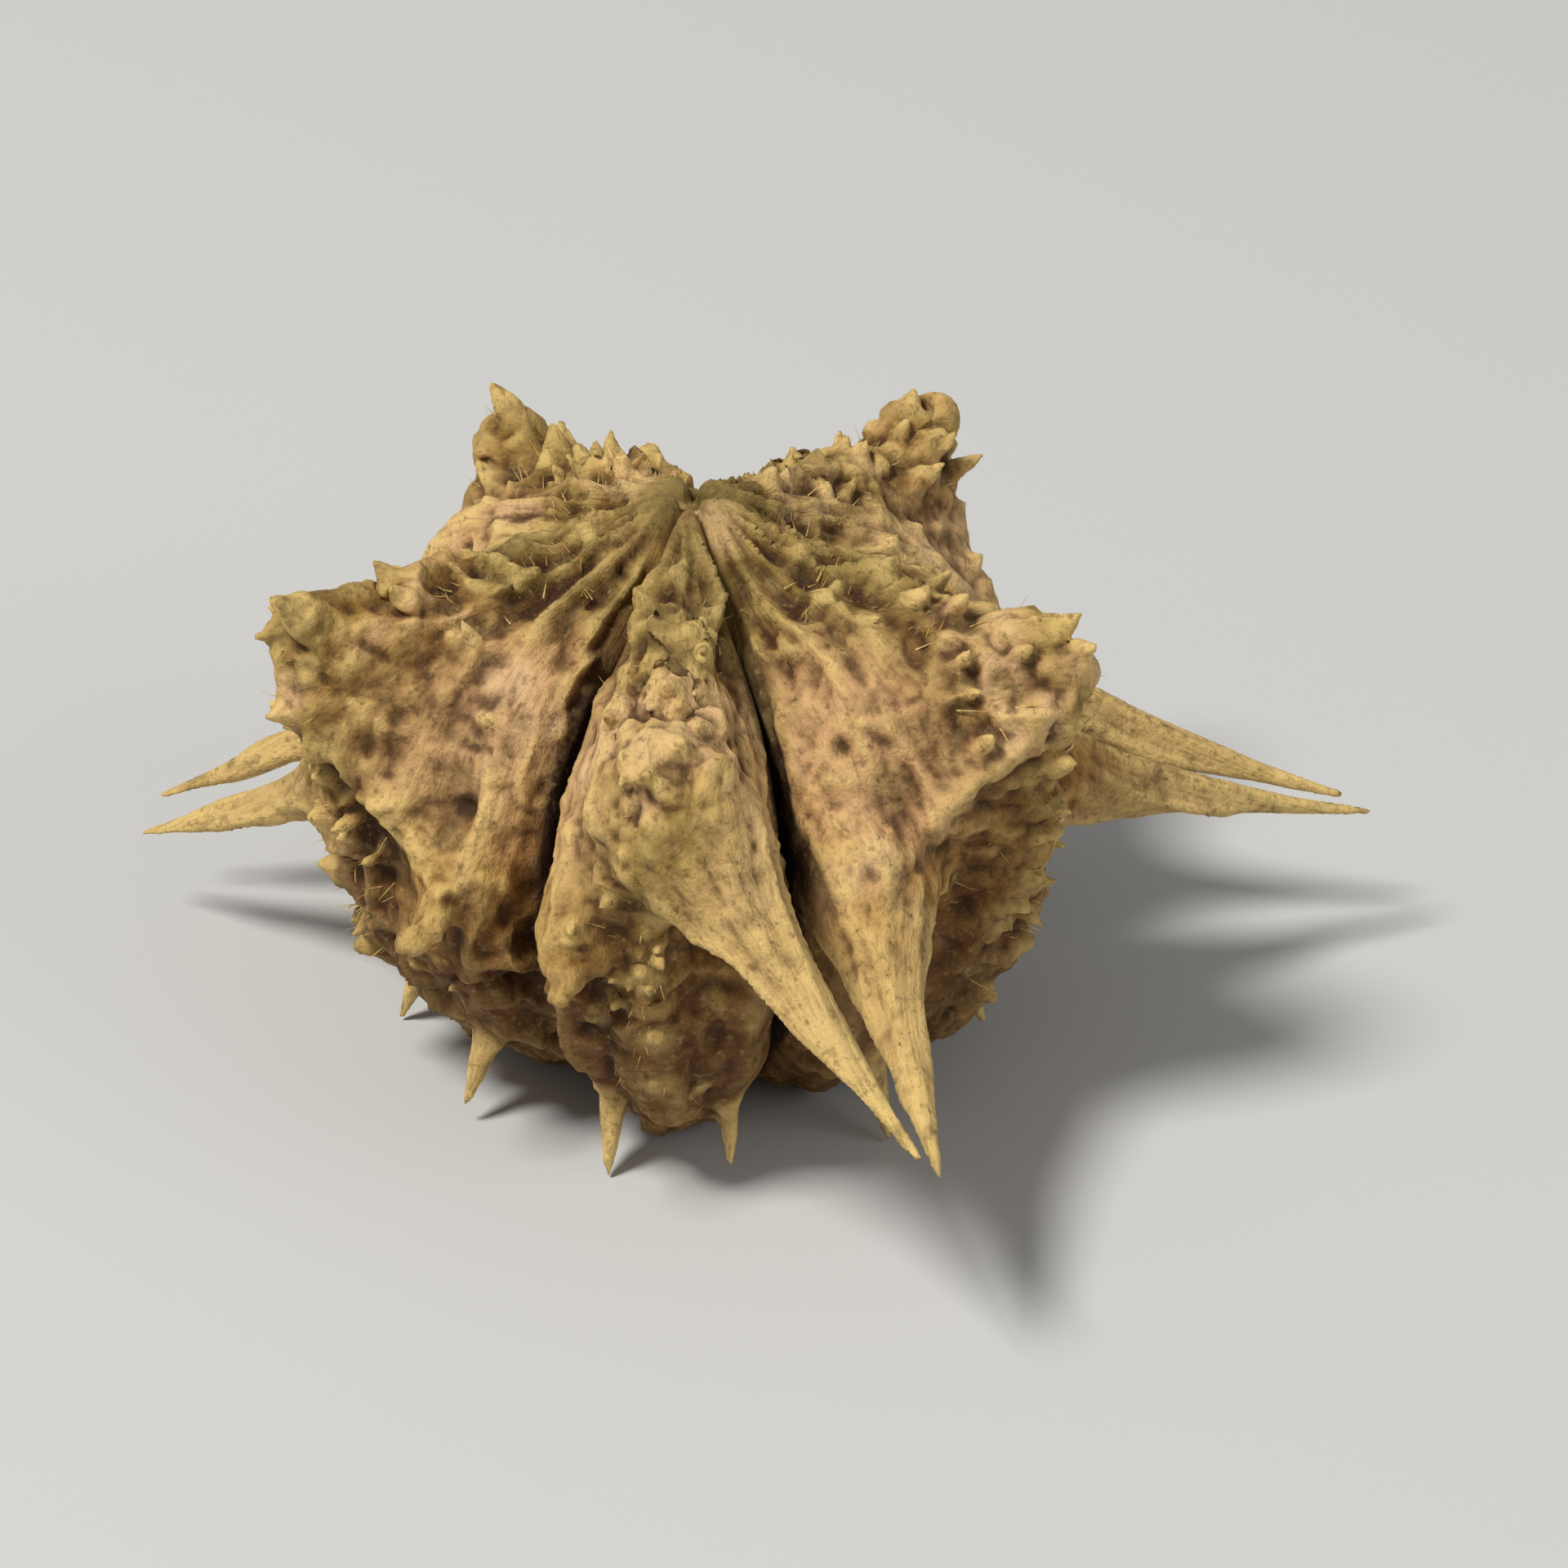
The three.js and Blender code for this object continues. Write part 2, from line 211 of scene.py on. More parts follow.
# Teeth and warts
TEETH = 9
TOOTH_RADIUS = 0.27
TOOTH_HEIGHT = 0.42
FIRST_TOOTH = math.radians(17)
LAST_TOOTH = math.radians(118)
TOOTH_LEAN = 0.35
WARTS_PER_RADIAN = 9
WART_RADIUS = 0.18
CONE_SUNK = 0.25
TOOTH_SEED = 101

# Name, cracks in degrees of bearing, the high corner's rise, and each long spine's level, distance from the
# crack, length, drop and girth
NUTLETS = [
    ("nutlet_front", -29, 20, 0.3, ((84, 0.9, 0.6, 40, 1), (60, 1.45, 5.2, 34, 1.3))),
    ("nutlet_right", 20, 103, 1.3, ((76, 0.8, 4.3, 27, 1.15), (85, 1.05, 4.9, 25, 1))),
    ("nutlet_back_right", 103, 176, 0.15, ((85, 1.05, 4.6, 27, 1), (82, 1.05, 4.9, 22, 1))),
    ("nutlet_back_left", 176, 250, 0.2, ((78, 1.05, 5.0, 30, 1), (88, 1.05, 3.8, 36, 1))),
    ("nutlet_left", 250, 331, 1.1, ((90, 1.05, 3.9, 38, 1), (84, 1.0, 0.7, 45, 1))),
]


class Nutlet:
    """One nutlet's angles, high corner and long spines."""

    def __init__(self, number, name, start, end, corner, spines):
        self.number = number
        self.seed = 11 * number
        self.name = name
        self.corner = corner
        self.middle = math.radians((start + end) / 2)
        self.half_width = math.radians((end - start) / 2)
        self.spines = {}
        for side, (level, inset, length, drop, girth) in zip((-1, 1), spines):
            self.spines[side] = (math.radians(level), inset, length, math.radians(drop), girth)


def bell(x, half_width):
    return np.exp(-((x / half_width) ** 2))


def smoothstep(low, high, x):
    t = np.clip((x - low) / (high - low), 0, 1)
    return t * t * (3 - 2 * t)


def by_level(start, end, level):
    """For levels in radians: 0 at the start level and 1 at the end level, which are in degrees."""
    return smoothstep(math.radians(start), math.radians(end), level)


def mix_numbers(a, b, share):
    return a * (1 - share) + b * share


def mix(a, b, share):
    """Blends two colours, with a share for each vertex."""
    return mix_numbers(a, b, share[:, None])


class Fields:
    """Named values, each with one number or vector a vertex."""

    def __init__(self, **values):
        self.__dict__.update(values)


def direction(bearing, level=math.pi / 2):
    out = math.sin(level)
    return np.array([out * math.sin(bearing), -out * math.cos(bearing), math.cos(level)])


def unit(vector):
    return vector / np.linalg.norm(vector)


def seeded_random(seed):
    """The same numbers from 0 to 1 that the CAD part draws."""
    state = [seed]

    def draw():
        state[0] = (state[0] + 0x6D2B79F5) & 0xFFFFFFFF
        s = state[0]
        t = ((s ^ (s >> 15)) * (s | 1)) & 0xFFFFFFFF
        t = ((t + (t ^ (t >> 7)) * (t | 61)) ^ t) & 0xFFFFFFFF
        return (t ^ (t >> 14)) / 4294967296

    return draw


# The nutlet's back

def outline_reach(level):
    cos = np.cos(level)
    power = np.where(cos > 0, TOP_SQUARENESS, FOOT_SQUARENESS).astype(np.float32)
    height = np.where(cos > 0, TOP_RISE, FOOT_DROP)
    across = (np.sin(level) / BODY_RADIUS) ** power
    upright = (np.abs(cos) / height) ** power
    return (across + upright) ** (-1 / power)


def crest_place(nutlet, level):
    return CREST_WANDER * np.sin(3.1 * level + 7 * nutlet.middle)


def spine_place(nutlet, side):
    level, inset = nutlet.spines[side][:2]
    return side * (1 - inset / (outline_reach(level) * math.sin(level) * nutlet.half_width))


def strut_rise(nutlet, level, place, arc, side):
    span = max(nutlet.spines[side][0] - CORNER_LEVEL, 0.02)
    share = (level - CORNER_LEVEL) / span
    along = np.clip(share, 0, 1)
    past = (share - along) * span * BODY_RADIUS
    across = arc * (place - along * spine_place(nutlet, side))
    return STRUT_RISE * bell(np.hypot(across, past), STRUT_HALF_WIDTH)


def back_reach(nutlet, level, place):
    plain = outline_reach(level)
    band = np.sin(level)
    arc = plain * band * nutlet.half_width
    bearing = nutlet.middle + place * nutlet.half_width
    from_crest = arc * (place - crest_place(nutlet, level))
    from_crack = arc * (1 - np.abs(place))
    corner = bell(level - CORNER_LEVEL, CORNER_SPREAD)
    valley = (CRACK_VALLEY * band**1.2 + 0.02) * np.abs(place) ** VALLEY_SHARPNESS
    crest = CREST_RISE * bell(from_crest, CREST_HALF_WIDTH) * band**0.6
    peak = nutlet.corner * corner * bell(from_crest, CREST_HALF_WIDTH + CORNER_WIDENING)
    margin = MARGIN_RISE * bell(from_crack - MARGIN_FROM_CRACK, MARGIN_HALF_WIDTH) * band**1.5
    struts = strut_rise(nutlet, level, place, arc, -1) + strut_rise(nutlet, level, place, arc, 1)
    swell = SWELL * band * np.sin(5.3 * bearing + 1.1) * np.sin(3.7 * level + 2 * np.sin(2 * bearing))
    beak = BEAK_RISE * bell(level, BEAK_SPREAD)
    return plain * (1 - valley) + crest + peak + margin + struts + swell + beak


def back_point(nutlet, level, place, rise=0.0):
    bearing = nutlet.middle + place * nutlet.half_width
    reach = back_reach(nutlet, level, place) + rise
    return direction(bearing, level) * reach + np.array([0, 0, MID_HEIGHT])


# Spines, teeth and warts, each as a row of points with a radius at each

class Stem:
    """A tapered stem along a bent line, and how far it blends into the back."""

    def __init__(self, points, radii, flatness, blend, kind):
        self.points = np.asarray(points, float)
        self.radii = np.asarray(radii, float)
        self.flatness = flatness
        self.blend = blend
        self.kind = kind


def bezier_points(start, bend, end, count):
    t = np.linspace(0, 1, 200)[:, None]
    line = (1 - t) ** 2 * start + 2 * t * (1 - t) * bend + t**2 * end
    length = np.concatenate([[0], np.cumsum(np.linalg.norm(np.diff(line, axis=0), axis=1))])
    even = np.linspace(0, length[-1], count)
    return np.stack([np.interp(even, length, line[:, axis]) for axis in range(3)], 1)


def spine_ends(nutlet, side):
    level, _, length, drop, _ = nutlet.spines[side]
    crack = nutlet.middle + side * nutlet.half_width
    root = back_point(nutlet, level, spine_place(nutlet, side))
    out = direction(crack)
    sideways = direction(crack + math.pi / 2)
    run = length * math.cos(drop)
    aside = -side * root.dot(sideways) if length < STUB_LENGTH else SPINE_TIP_GAP
    tip = out * (root.dot(out) + run) - side * aside * sideways
    tip[2] = root[2] - length * math.sin(drop)
    return root, tip


def long_spine(nutlet, side):
    root, tip = spine_ends(nutlet, side)
    stub = np.linalg.norm(tip - root) < STUB_LENGTH
    inward = unit(np.array([0, 0, MID_HEIGHT]) - root)
    start = root - unit(tip - root) * SPINE_SUNK_BACK + inward * SPINE_SUNK_IN
    bend = (start + tip) / 2 - np.array([0, 0, 0 if stub else SPINE_BOW])
    share = np.linspace(0, 1, SPINE_POINTS)
    tip_radius = STUB_TIP_RADIUS if stub else SPINE_TIP_RADIUS
    flare = STUB_FLARE if stub else SPINE_FLARE
    rounding = ROOT_GIRTH + (1 - ROOT_GIRTH) * np.sin(np.minimum(share / ROOT_ROUND, 1) * math.pi / 2)
    radii = nutlet.spines[side][4] * (SPINE_SHAFT_RADIUS * (1 - share) + flare * (1 - share) ** 4)
    radii = (tip_radius + radii) * rounding
    points = bezier_points(start, bend, tip, SPINE_POINTS)
    points[-1] -= unit(tip - root) * tip_radius
    return Stem(points, radii, SPINE_FLATNESS, SPINE_BLEND, "stub" if stub else "spine")


def foot_spine(nutlet, side):
    place = side * FOOT_SPINE_PLACE
    start = back_point(nutlet, FOOT_SPINE_LEVEL, place, -FOOT_SPINE_SUNK)
    tip = direction(nutlet.middle + place * nutlet.half_width) * FOOT_SPINE_REACH
    tip[2] = FOOT_SPINE_LOW if side < 0 else FOOT_SPINE_LIFT
    bend = start + (tip - start) * 0.55 + np.array([0, 0, 0.15])
    to_tip = 1 - np.linspace(0, 1, FOOT_SPINE_POINTS)
    radii = FOOT_SPINE_TIP_RADIUS + FOOT_SPINE_SHAFT_RADIUS * to_tip + FOOT_SPINE_FLARE * to_tip**4
    points = bezier_points(start, bend, tip, FOOT_SPINE_POINTS)
    points[-1] -= unit(tip - start) * FOOT_SPINE_TIP_RADIUS
    return Stem(points, radii, 1.0, FOOT_SPINE_BLEND, "spine")


def cone_on_back(nutlet, level, place, radius, height, lean, kind):
    root = back_point(nutlet, level, place, -CONE_SUNK)
    bearing = nutlet.middle + place * nutlet.half_width
    axis = unit(direction(bearing, level) + lean)
    share = np.linspace(0, 1, CONE_POINTS)
    points = root + axis * (height + CONE_SUNK) * share[:, None]
    radii = radius * (1 - share) ** 0.8 + CONE_TIP_RADIUS
    return Stem(points, radii, 1.0, CONE_BLEND, kind)


def teeth(nutlet, draw):
    found = []
    for index in range(TEETH):
        level = FIRST_TOOTH + ((LAST_TOOTH - FIRST_TOOTH) * (index + 0.5 * draw())) / (TEETH - 0.5)
        corner = bell(level - CORNER_LEVEL, CORNER_SPREAD)
        height = TOOTH_HEIGHT * (0.65 + 0.7 * corner) * (0.75 + 0.5 * draw())
        lean = direction(nutlet.middle + math.pi / 2) * (1 if index % 2 else -1)
        lean = lean * TOOTH_LEAN * (0.4 + 0.6 * draw()) + np.array([0, 0, 0.25])
        place = crest_place(nutlet, level)
        found.append(cone_on_back(nutlet, level, place, TOOTH_RADIUS, height, lean, "tooth"))
    return found


def warts(nutlet, draw):
    found = []
    for _ in range(round(WARTS_PER_RADIAN * nutlet.half_width * 2)):
        level = math.radians(24 + 100 * draw())
        place = (-1 if draw() < 0.5 else 1) * (0.2 + 0.62 * draw())
        size = WART_RADIUS * (0.7 + 0.6 * draw())
        found.append(cone_on_back(nutlet, level, place, size, size * 0.75, np.zeros(3), "wart"))
    return found


def denticles(nutlet):
    """Small sharp points on and beside the crest, between its teeth, and larger at the high corner."""
    rng = np.random.default_rng(DENTICLE_SEED + nutlet.number)
    found = []
    for _ in range(DENTICLES):
        level = math.radians(rng.uniform(*DENTICLE_LEVELS))
        aside = rng.normal(0, DENTICLE_SPREAD) / (4.5 * math.sin(level) * nutlet.half_width)
        lean = unit(rng.normal(0, 1, 3)) * DENTICLE_LEAN
        corner = bell(level - CORNER_LEVEL, CORNER_SPREAD)
        radius = rng.uniform(*DENTICLE_RADII) * (1 + 0.25 * corner)
        height = rng.uniform(*DENTICLE_HEIGHTS) * (1 + 0.4 * corner)
        place = crest_place(nutlet, level) + aside
        found.append(cone_on_back(nutlet, level, place, radius, height, lean, "tooth"))
    return found


# The distance field

def smooth_min(a, b, blend):
    near = np.maximum(blend - np.abs(a - b), 0) / blend
    return np.minimum(a, b) - near * near * blend / 4


def polar(x, y, z, nutlet):
    """Level, place and distance from the pod's centre."""
    up = z - MID_HEIGHT
    out = np.hypot(x, y)
    away = np.hypot(out, up) + 1e-6
    level = np.arctan2(out, up)
    bearing = np.arctan2(x, -y)
    turn = (bearing - nutlet.middle + math.pi) % (2 * math.pi) - math.pi
    return level, np.clip(turn / nutlet.half_width, -1.3, 1.3), away


def sector_distance(x, y, nutlet):
    """Distance outside the two planes on which a nutlet meets its neighbours."""
    found = None
    for side in (-1, 1):
        normal = side * direction(nutlet.middle + side * nutlet.half_width + math.pi / 2)
        distance = x * normal[0] + y * normal[1]
        found = distance if found is None else np.maximum(found, distance)
    return found


def stem_distance(stem, number, x, y, z):
    """Distance to one length of a stem, whose section is flattened and, on a spine, three-ribbed."""
    a, b = stem.points[number], stem.points[number + 1]
    ra, rb = stem.radii[number], stem.radii[number + 1]
    span = b - a
    along = unit(span)
    across = unit(np.cross([0, 0, 1], along) if abs(along[2]) < 0.99 else np.array([1.0, 0, 0]))
    up = np.cross(along, across)
    px, py, pz = x - a[0], y - a[1], z - a[2]
    t = np.clip((px * span[0] + py * span[1] + pz * span[2]) / span.dot(span), 0, 1)
    px, py, pz = px - t * span[0], py - t * span[1], pz - t * span[2]
    aside = px * across[0] + py * across[1] + pz * across[2]
    upward = (px * up[0] + py * up[1] + pz * up[2]) / stem.flatness
    ahead = px * along[0] + py * along[1] + pz * along[2]
    radius = ra + (rb - ra) * t
    if stem.kind == "spine":
        radius = radius * (1 + SPINE_RIBBING * np.cos(3 * np.arctan2(upward, aside) - 1.5 * math.pi))
    return np.sqrt(aside * aside + upward * upward + ahead * ahead) - radius


def add_stem(field, low, stem):
    for number in range(len(stem.points) - 1):
        ends = stem.points[number:number + 2]
        room = stem.radii[number:number + 2].max() * 1.15 + stem.blend + 2 * VOXEL
        first = np.maximum(np.floor((ends.min(0) - room - low) / VOXEL).astype(int), 0)
        last = np.minimum(np.ceil((ends.max(0) + room - low) / VOXEL).astype(int) + 1, field.shape)
        if np.any(last <= first):
            continue
        part = tuple(slice(f, e) for f, e in zip(first, last))
        x, y, z = grid_axes(low, first, last)
        distance = stem_distance(stem, number, x, y, z).astype(np.float32)
        field[part] = np.minimum(field[part], distance)


def grid_axes(low, first, last):
    axes = [low[i] + VOXEL * np.arange(first[i], last[i], dtype=np.float32) for i in range(3)]
    return axes[0][:, None, None], axes[1][None, :, None], axes[2][None, None, :]


def nutlet_field(nutlet, stems, low, shape):
    x, y, z = grid_axes(low, (0, 0, 0), shape)
    level, place, away = polar(x, y, z, nutlet)
    field = ((away - back_reach(nutlet, level, place)) * FIELD_SLOPE).astype(np.float32)
    for blend in sorted({stem.blend for stem in stems}, reverse=True):
        proud = np.full(shape, 9.0, np.float32)
        for stem in stems:
            if stem.blend == blend:
                add_stem(proud, low, stem)
        field = smooth_min(field, proud, blend)
    closed = CRACK_CLOSING * (1 + by_level(48, 16, level)) / 2 * by_level(60, 34, level)
    field = -smooth_min(-field, closed - sector_distance(x, y, nutlet), CRACK_EDGE)
    return np.maximum(field, -z).astype(np.float32)


def mesh_of_field(field, low):
    grid = openvdb.FloatGrid()
    grid.copyFromArray(field)
    points, _, quads = grid.convertToPolygons(isovalue=0.0, adaptivity=0.0)
    points = points.astype(float) * VOXEL + low
    a, b, c, d = (points[quads[:, i]] for i in range(4))
    volume = np.einsum("ij,ij->i", a, np.cross(b, c) + np.cross(c, d)).sum()
    return points, quads if volume > 0 else quads[:, ::-1]


def keep_largest(points, quads):
    """Leaves out crumbs that don't touch the nutlet."""
    label = np.arange(len(points))
    while True:
        lowest = label[quads].min(1)
        new = label.copy()
        for corner in range(4):
            np.minimum.at(new, quads[:, corner], lowest)
        new = new[new]
        if np.array_equal(new, label):
            break
        label = new
    values, counts = np.unique(label, return_counts=True)
    keep = label == values[counts.argmax()]
    number = np.cumsum(keep) - 1
    return points[keep], number[quads[keep[quads[:, 0]]]]


def vertex_normals(points, quads):
    diagonal_a = points[quads[:, 2]] - points[quads[:, 0]]
    diagonal_b = points[quads[:, 3]] - points[quads[:, 1]]
    face = np.cross(diagonal_a, diagonal_b)
    normals = np.zeros_like(points)
    for corner in range(4):
        np.add.at(normals, quads[:, corner], face)
    return normals / (np.linalg.norm(normals, axis=1, keepdims=True) + 1e-12)


# Noise, the same each run

def lattice(cell, seed):
    """A number from 0 to 1 for each whole-number cell."""
    h = cell[..., 0] * 374761393 + cell[..., 1] * 668265263 + cell[..., 2] * 2147483647 + seed * 974634777
    h = (h ^ (h >> 13)) * 1274126177 & 0x7FFFFFFFFFFF
    h = (h ^ (h >> 16)) * 1103515245 & 0x7FFFFFFFFFFF
    return ((h >> 8) & 0xFFFF) / 65535.0


def noise(points, size, seed):
    """Smooth noise from 0 to 1, with lumps of about the given size."""
    place = points / size
    cell = np.floor(place).astype(np.int64)
    t = place - cell
    t = t * t * (3 - 2 * t)
    total = 0
    for i in (0, 1):
        for j in (0, 1):
            for k in (0, 1):
                weight = (t[:, 0] if i else 1 - t[:, 0]) * (t[:, 1] if j else 1 - t[:, 1])
                weight = weight * (t[:, 2] if k else 1 - t[:, 2])
                total = total + weight * lattice(cell + np.array([i, j, k]), seed)
    return total


def layered(points, size, seed, layers=3):
    total, weight = 0, 0
    for layer in range(layers):
        total = total + noise(points, size / 2**layer, seed + layer) / 2**layer
        weight += 1 / 2**layer
    return total / weight


def nearest_cell(points, size, seed):
    """Distance to the nearest of points scattered one in each cell, and a number of that point's own."""
    place = points / size
    cell = np.floor(place).astype(np.int64)
    best = np.full(len(points), 9.0)
    own = np.zeros(len(points))
    for i in (-1, 0, 1):
        for j in (-1, 0, 1):
            for k in (-1, 0, 1):
                near = cell + np.array([i, j, k])
                spot = np.stack([lattice(near, seed + axis) for axis in range(3)], 1)
                distance = np.linalg.norm(near + spot - place, axis=1)
                closer = distance < best
                best = np.where(closer, distance, best)
                own = np.where(closer, lattice(near, seed + 7), own)
    return best, own


# Which vertex belongs to what

def along_stem(points, stem):
    """For each point near a stem: its place along it from 0 to 1, its distance from the stem's line as a
    share of the radius there, and where it lies from that line."""
    nearest = np.full(len(points), 99.0)
    ratio = np.full(len(points), 99.0)
    share = np.zeros(len(points))
    offset = np.zeros_like(points)
    room = stem.radii.max() + 0.6
    after_low = points > stem.points.min(0) - room
    before_high = points < stem.points.max(0) + room
    inside = np.flatnonzero(np.all(after_low & before_high, axis=1))
    count = len(stem.points) - 1
    for number in range(count):
        a, b = stem.points[number], stem.points[number + 1]
        span = b - a
        t = np.clip((points[inside] - a) @ span / span.dot(span), 0, 1)
        away = points[inside] - a - t[:, None] * span
        radius = stem.radii[number] + (stem.radii[number + 1] - stem.radii[number]) * t
        distance = np.linalg.norm(away, axis=1)
        closer = distance < nearest[inside]
        found = inside[closer]
        nearest[found] = distance[closer]
        ratio[found] = (distance / radius)[closer]
        share[found] = (number + t[closer]) / count
        offset[found] = away[closer]
    return share, ratio, offset


def stem_weights(points, stems):
    """How far each vertex belongs to a spine, to its bare shaft and to a tooth's tip, with its place along
    the spine and its coordinates along the spine's fibres."""
    spine, shaft, along, tooth = (np.zeros(len(points)) for _ in range(4))
    streak = np.zeros_like(points)
    for stem in stems:
        share, ratio, offset = along_stem(points, stem)
        weight = smoothstep(*STEM_REACH, ratio)
        if stem.kind == "spine":
            weight = weight * smoothstep(*SPINE_START, share)
            stronger = weight > spine
            length = np.linalg.norm(stem.points[-1] - stem.points[0])
            lines = offset * STREAK_ACROSS + (share * length * STREAK_ALONG)[:, None]
            along = np.where(stronger, share, along)
            streak = np.where(stronger[:, None], lines, streak)
            spine = np.maximum(spine, weight)
            shaft = np.maximum(shaft, weight * smoothstep(*SHAFT_START, share))
        elif stem.kind != "stub":
            tooth = np.maximum(tooth, weight * smoothstep(*TOOTH_TIP, share))
    return Fields(spine=spine, shaft=shaft, along=along, tooth=tooth, streak=streak)


def husk_places(points, nutlet):
    """Where each vertex lies on the nutlet: its angles, its part of the husk and the fibres' flow."""
    x, y, z = points.T
    level, place, away = polar(x, y, z, nutlet)
    arc = outline_reach(level) * np.sin(level) * nutlet.half_width
    bearing = nutlet.middle + place * nutlet.half_width
    inner = smoothstep(-0.14, -0.03, sector_distance(x, y, nutlet))
    crest = bell(arc * (place - crest_place(nutlet, level)), 0.75)
    top = by_level(48, 12, level)
    calm = smoothstep(0.25, 0.6, noise(points, 2.4, nutlet.seed + 17))
    return Fields(
        level=level,
        bearing=bearing,
        from_axis=away * np.sin(level),
        from_crack=arc * (1 - np.abs(place)),
        inner=inner,
        outer=(1 - inner) * smoothstep(0.02, 0.3, z),
        crest=crest * by_level(125, 85, level),
        top=top,
        cheek=calm * (1 - np.maximum(crest, top)),
        flow=np.stack([bearing * FLOW_ACROSS, level * FLOW_DOWN, away * FLOW_OUT], 1),
    )


# Fine relief. Each kind of noise has its own number, added to the nutlet's seed.

def ridged(points, size, seed, sharpness):
    """Noise from 0 to 1 that rises to narrow ridges."""
    return (1 - np.abs(2 * noise(points, size, seed) - 1)) ** sharpness


def scattered(points, spacing, width, seed):
    """Cones from 0 to 1, one in each cell, and a number of each cone's own."""
    distance, own = nearest_cell(points, spacing, seed)
    return np.clip(1 - distance / width, 0, 1), own


def husk_folds(points, at, seed):
    """Lumps, folds, ribs, knots and creases, most of them weaker on the crest and on calm cheeks."""
    warp = noise(points, 1.1, seed + 1)[:, None] * np.array([0.9, 0.3, 0.3])
    strength = 1 - 0.4 * at.crest - 0.6 * at.cheek
    lumps = layered(points, LUMP_SIZE, seed + 3, 2) - 0.5
    folds = ridged(at.flow * np.array([1, 0.45, 1]) + 1.2 * warp, FOLD_SIZE, seed + 16, 3) - 0.3
    ribs = ridged(at.flow + warp, RIB_SIZE, seed + 2, 2) - 0.4
    knots = ridged(points + 0.4 * warp, KNOT_SIZE, seed + 18, 3) - 0.25
    creases = bell(2 * noise(points + 0.5 * warp, CREASE_SIZE, seed + 12) - 1, 0.13)
    fine_creases = bell(2 * noise(points + 0.3 * warp, FINE_CREASE_SIZE, seed + 13) - 1, 0.16)
    rise = LUMP_HEIGHT * lumps + FOLD_HEIGHT * folds * strength + RIB_HEIGHT * ribs * strength
    rise += KNOT_HEIGHT * knots * (1 - 0.6 * at.cheek)
    return rise - (CREASE_DEPTH * creases + FINE_CREASE_DEPTH * fine_creases) * strength


def apex_fan(points, at, seed):
    """Narrow ridges that fan out from the apex."""
    fan = 1 - 2 * np.abs(np.sin(FAN_RIDGES * at.bearing + 2.5 * noise(points, 1.2, seed + 15)))
    return fan * by_level(56, 24, at.level) * smoothstep(0.15, 0.7, at.from_axis)


def spine_relief(points, stem, seed):
    ribs = ridged(stem.streak, SPINE_RIB_SIZE, seed + 2, 2) - 0.5
    lumps = layered(points, LUMP_SIZE, seed + 3, 2) - 0.5
    return (SPINE_RIB_HEIGHT * ribs + SPINE_LUMP_HEIGHT * lumps) * smoothstep(1.0, 0.6, stem.along)


def fibre_relief(at, stem, seed):
    on_husk = noise(at.flow, FIBRE_SIZE, seed + 14)
    on_spine = noise(stem.streak, FIBRE_SIZE, seed + 14)
    return mix_numbers(on_husk, on_spine, stem.spine) - 0.5


def relief(points, at, stem, seed):
    """The fine relief in millimetres, with the granules and pits that also take a colour."""
    rough = np.clip(np.maximum(at.crest, at.top * 0.8) + 0.15, 0, 1)
    grains, own = scattered(points, GRAIN_SPACING, 0.62, seed + 4)
    grains = grains * smoothstep(0.2, 0.55, own)
    cones, own = scattered(points, CONE_SPACING, 0.55, seed + 20)
    cones = cones * smoothstep(0.3, 0.6, own)
    pits, own = scattered(points, PIT_SPACING, 0.2, seed + 5)
    pits = pits * (own > 0.55)
    husk = husk_folds(points, at, seed) + (GRAIN_HEIGHT * grains + CONE_HEIGHT * cones) * rough
    husk += FAN_HEIGHT * apex_fan(points, at, seed) - PIT_DEPTH * pits
    grit = layered(points, GRIT_SIZE, seed + 6, 2) - 0.5
    rise = mix_numbers(husk, spine_relief(points, stem, seed), stem.spine)
    rise += GRIT_HEIGHT * grit * (1 - 0.7 * stem.shaft)
    rise += FIBRE_HEIGHT * fibre_relief(at, stem, seed) * (1 - 0.3 * stem.shaft)
    rise *= (1 - 0.85 * stem.tooth) * (1 - 0.7 * by_level(18, 7, at.level))
    return rise * at.outer, grains * rough * (1 - stem.spine), pits * (1 - stem.spine)


# Colour

def srgb(*values):
    """A colour given as it looks on a screen, from 0 to 255."""
    c = np.array(values) / 255
    return np.where(c <= 0.04045, c / 12.92, ((c + 0.055) / 1.055) ** 2.4)


# PALE, BROWN and DARK also serve below as painted highlight and painted shade.
TAN = srgb(198, 158, 84)
ORANGE = srgb(190, 132, 62)
PINK = srgb(228, 188, 142)
OLIVE = srgb(110, 88, 34)
BROWN = srgb(98, 60, 22)
DARK = srgb(46, 22, 8)
STRAW = srgb(212, 176, 112)
PALE = srgb(242, 208, 130)


def depth_below(points, quads, rounds):
    """How far each vertex lies below the surface when that is smoothed, in millimetres."""
    a, b = np.concatenate([quads[:, [corner, (corner + 1) % 4]] for corner in range(4)]).T
    total = len(points)
    count = np.bincount(a, minlength=total) + np.bincount(b, minlength=total)
    smooth = points.T
    for _ in range(rounds):
        sums = [np.bincount(a, axis[b], total) + np.bincount(b, axis[a], total) for axis in smooth]
        smooth = np.array(sums) / count
    return np.einsum("ij,ij->i", smooth.T - points, vertex_normals(points, quads))


